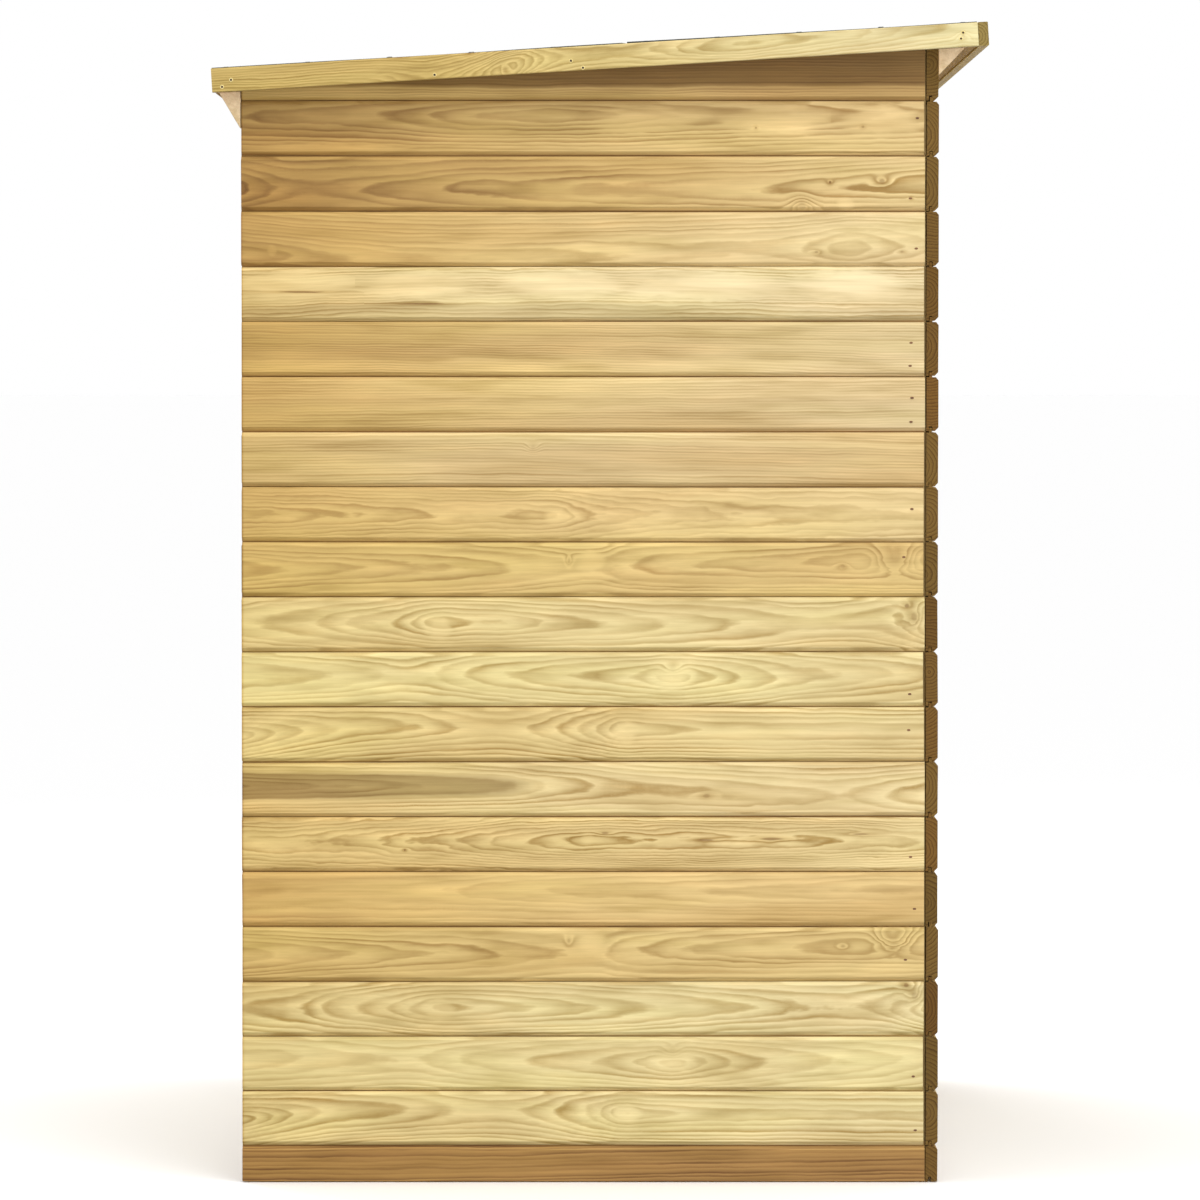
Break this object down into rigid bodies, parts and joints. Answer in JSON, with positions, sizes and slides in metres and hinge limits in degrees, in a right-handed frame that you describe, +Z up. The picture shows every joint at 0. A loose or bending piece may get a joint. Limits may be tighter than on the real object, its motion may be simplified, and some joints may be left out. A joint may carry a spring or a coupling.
{
  "type": "wooden garden shed",
  "caption": "Single-pitch garden shed of horizontal tongue-and-groove boards, with a felted roof panel, bargeboards, eaves brackets and a plain boarded door.",
  "frame": {"origin": "On the ground under the middle of the outline.", "axes": "+Z up. +X out of the high front wall, where the door is. -Y out of the left side wall, the side in the picture."},
  "size_m": [1.2372, 1.922, 1.854],
  "materials": {
    "boards": "planed treated pine, yellow-green",
    "framing": "sawn treated pine",
    "trim": "planed treated pine, yellow-green",
    "brackets": "sawn pale pine",
    "felt": "mineral-faced roofing felt, dark grey",
    "ironwork": "black coated steel"
  },
  "bodies": {
    "root": {"left_side_wall": "boards", "right_side_wall": "boards", "back_wall": "boards", "front_wall_left": "boards", "front_wall_right": "boards", "front_wall_top": "boards", "front_sill": "boards", "door_leaf": "boards", "corner_post_back_left": "framing", "corner_post_back_right": "framing", "corner_post_front_left": "framing", "corner_post_front_right": "framing", "left_bottom_rail": "framing", "right_bottom_rail": "framing", "back_bottom_rail": "framing", "front_bottom_rail": "framing", "left_top_rail": "framing", "right_top_rail": "framing", "back_top_rail": "framing", "front_top_rail": "framing", "left_stud": "framing", "right_stud": "framing", "back_studs": "framing", "door_jamb_left": "framing", "door_jamb_right": "framing", "door_head": "framing", "roof_battens": "framing", "roof_deck": "framing", "door_ledges": "framing", "door_braces": "framing", "left_bargeboard": "trim", "right_bargeboard": "trim", "front_fascia": "trim", "bracket_back_left": "brackets", "bracket_back_middle": "brackets", "bracket_back_right": "brackets", "bracket_front_left": "brackets", "bracket_front_middle": "brackets", "bracket_front_right": "brackets", "roof_felt": "felt", "hinge_top": "ironwork", "hinge_bottom": "ironwork", "door_bolt": "ironwork", "bolt_keep": "ironwork"}
  },
  "joints": []
}
